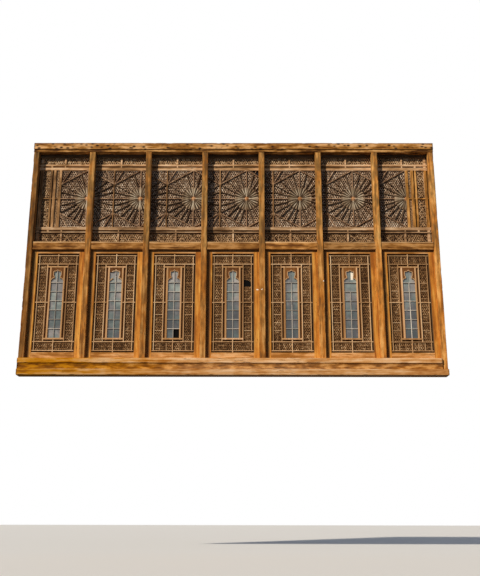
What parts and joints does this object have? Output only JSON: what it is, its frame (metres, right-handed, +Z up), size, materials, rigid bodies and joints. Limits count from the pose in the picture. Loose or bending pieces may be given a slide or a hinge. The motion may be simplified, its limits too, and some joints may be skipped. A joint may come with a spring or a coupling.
{
  "type": "mashrabiya window screen",
  "caption": "Timber facade screen: glazed lattice sashes between square posts below, and a long sunburst lattice panel above, on a stepped sill.",
  "frame": {"origin": "middle of the sill's underside, where the screen rests on the wall", "axes": "+X to the right along the wall seen from outside, +Y into the building, +Z up"},
  "size_m": [6.976, 0.21, 4.105],
  "materials": {
    "sill_timber": "sun-bleached sawn poplar, open grain and drying checks",
    "head_board": "weathered plank with dark rust stains round its nails",
    "head_timber": "weathered beam, worn front edges",
    "post_timber": "hewn posts, weathered olive brown, worn edges",
    "transom_timber": "weathered beam with a pale top edge",
    "sash_timber": "planed boards, orange where the posts shelter them",
    "sash_beading": "moulded beads and thin bars, grey-brown with pale worn faces",
    "panel_timber": "planed rails, weathered brown",
    "fine_lattice": "thin lattice bars, dusty brown",
    "sunburst_wood": "dark weathered rays, paler and silvery near the boss",
    "sash_pane": "dusty sheet glass that mirrors the sky in front of a dark room",
    "upper_pane": "dusty sheet glass in front of a dark room"
  },
  "bodies": {
    "root": {"sill_lower": "sill_timber", "sill_middle": "sill_timber", "sill_upper": "sill_timber", "head_lower": "head_timber", "head_upper": "head_board", "left_jamb": "post_timber", "right_jamb": "post_timber", "post_1": "post_timber", "post_2": "post_timber", "post_3": "post_timber", "post_4": "post_timber", "post_5": "post_timber", "post_6": "post_timber", "transom_1": "transom_timber", "transom_2": "transom_timber", "transom_3": "transom_timber", "transom_4": "transom_timber", "transom_5": "transom_timber", "transom_6": "transom_timber", "transom_7": "transom_timber", "sash_1": "sash_timber", "sash_2": "sash_timber", "sash_3": "sash_timber", "sash_4": "sash_timber", "sash_5": "sash_timber", "sash_6": "sash_timber", "sash_7": "sash_timber", "sash_lattice_1": "sash_beading", "sash_lattice_2": "sash_beading", "sash_lattice_3": "sash_beading", "sash_lattice_4": "sash_beading", "sash_lattice_5": "sash_beading", "sash_lattice_6": "sash_beading", "sash_lattice_7": "sash_beading", "upper_frame": "panel_timber", "upper_strips": "fine_lattice", "sunburst_1": "sunburst_wood", "sunburst_2": "sunburst_wood", "sunburst_3": "sunburst_wood", "sunburst_4": "sunburst_wood", "sunburst_5": "sunburst_wood", "sunburst_6": "sunburst_wood", "sunburst_7": "sunburst_wood", "sash_glass": "sash_pane", "upper_glass": "upper_pane"}
  },
  "joints": []
}
